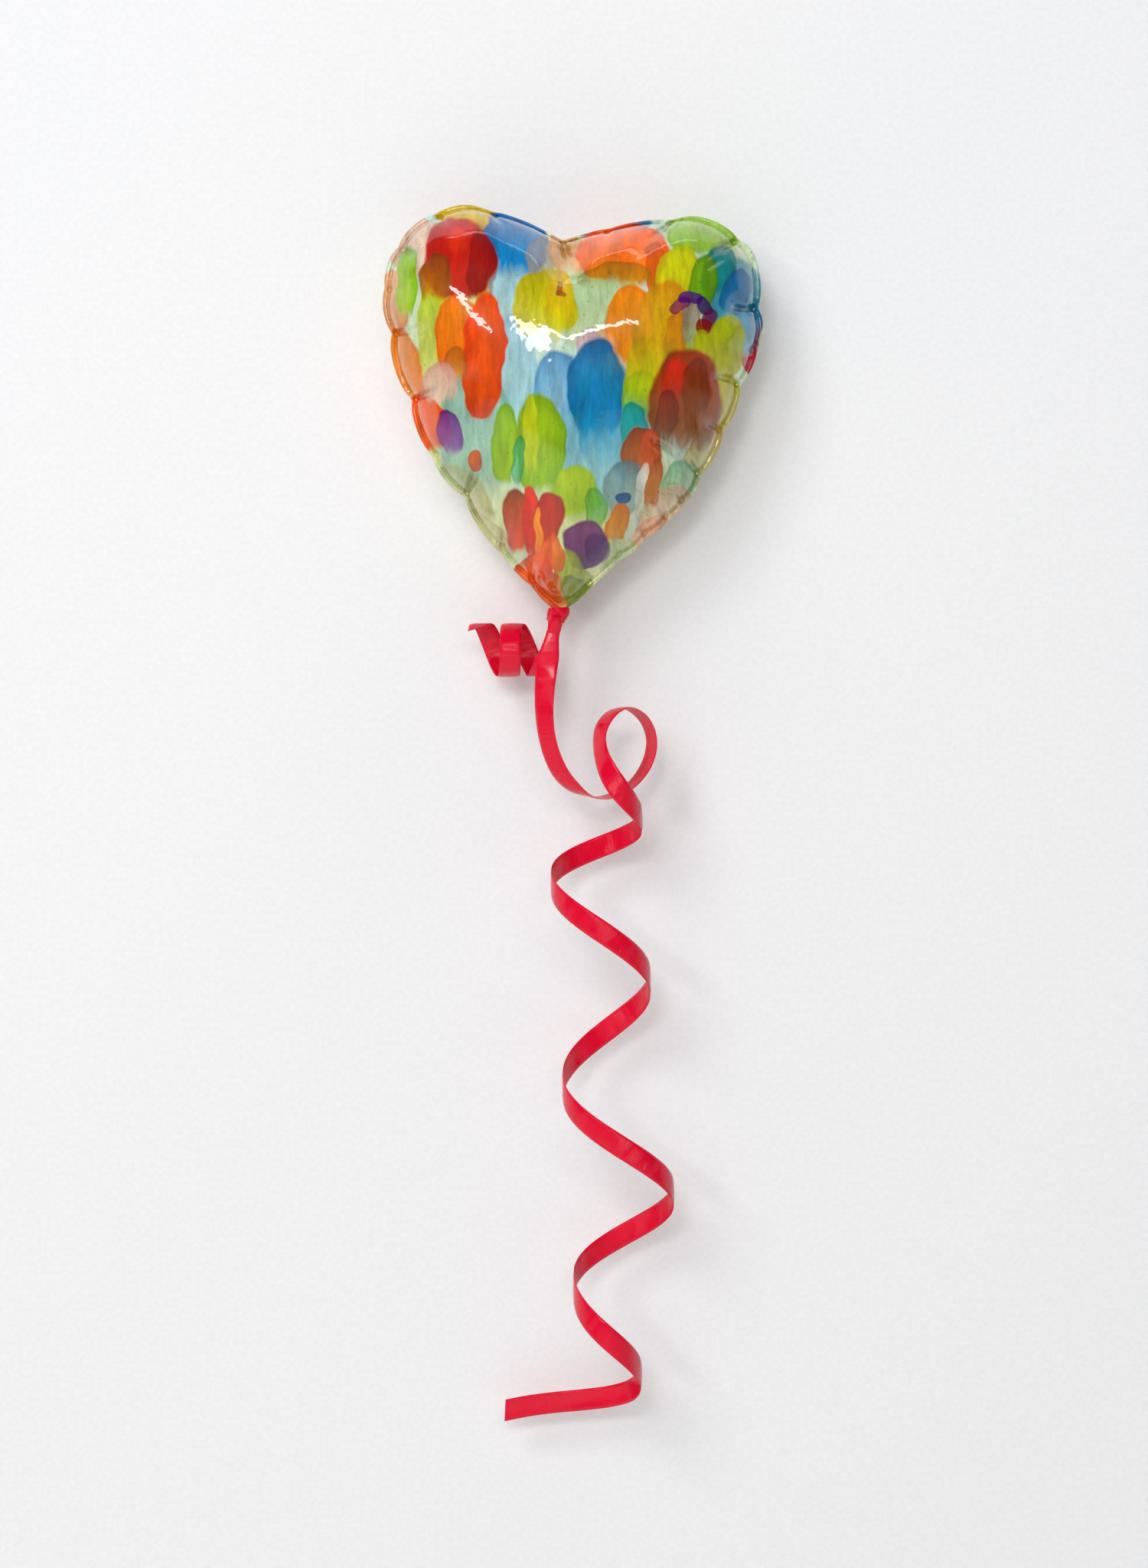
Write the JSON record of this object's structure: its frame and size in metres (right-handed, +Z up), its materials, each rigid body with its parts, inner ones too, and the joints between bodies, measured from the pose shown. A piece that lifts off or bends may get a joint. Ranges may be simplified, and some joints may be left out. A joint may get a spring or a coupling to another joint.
{
  "type": "heart-shaped foil balloon wall ornament",
  "caption": "Puffed heart-shaped balloon ornament in glazed ceramic that hangs flat on a wall, with a curling ribbon tied round its neck.",
  "frame": {"origin": "middle of the flat pad on the back, which lies against the wall", "axes": "+Z up along the wall, +Y into the wall, so the front of the balloon faces -Y, +X to the right as seen from the front"},
  "size_m": [0.0889, 0.038, 0.2841],
  "materials": {
    "painted_glaze": "gloss",
    "plain_glaze": "gloss",
    "ribbon": "gloss"
  },
  "bodies": {
    "heart": {"front_shell": "painted_glaze", "back_shell": "plain_glaze", "neck_stub": "plain_glaze"},
    "tie": {"ribbon_wrap": "ribbon", "ribbon_knot": "ribbon"},
    "strip_root": {"ribbon_root": "ribbon"},
    "strip": {"ribbon_drop": "ribbon", "ribbon_loop": "ribbon", "ribbon_curl": "ribbon"},
    "strip_end": {"ribbon_end": "ribbon"},
    "short_tail": {"short_lead": "ribbon", "short_curl": "ribbon"}
  },
  "joints": [
    {"name": "tie_turn", "type": "hinge", "parent": "heart", "child": "tie", "pos_m": [-0.003, -0.017, -0.059], "axis": [0, 0, 1], "range_deg": [-15, 15]},
    {"name": "ribbon_sway", "type": "hinge", "parent": "tie", "child": "strip_root", "pos_m": [-0.0038, -0.0206, -0.0622], "axis": [0, 1, 0], "range_deg": [-25, 15], "stiffness_Nm_per_rad": 0.01, "springref_deg": -7.49},
    {"name": "ribbon_lift", "type": "hinge", "parent": "strip_root", "child": "strip", "pos_m": [-0.0049, -0.021, -0.0681], "axis": [-1, 0, 0], "range_deg": [0, 60], "stiffness_Nm_per_rad": 0.01, "springref_deg": -0.7},
    {"name": "curl_stretch", "type": "slide", "parent": "strip", "child": "strip_end", "axis": [0, 0, -1], "range_m": [0, 0.1], "stiffness_N_per_m": 5, "springref_m": -0.00117, "deforming": ["ribbon_curl"]},
    {"name": "short_swing", "type": "hinge", "parent": "tie", "child": "short_tail", "pos_m": [-0.0044, -0.0185, -0.0625], "axis": [0, 1, 0], "range_deg": [-18, 20], "stiffness_Nm_per_rad": 0.02, "springref_deg": 0.19}
  ]
}
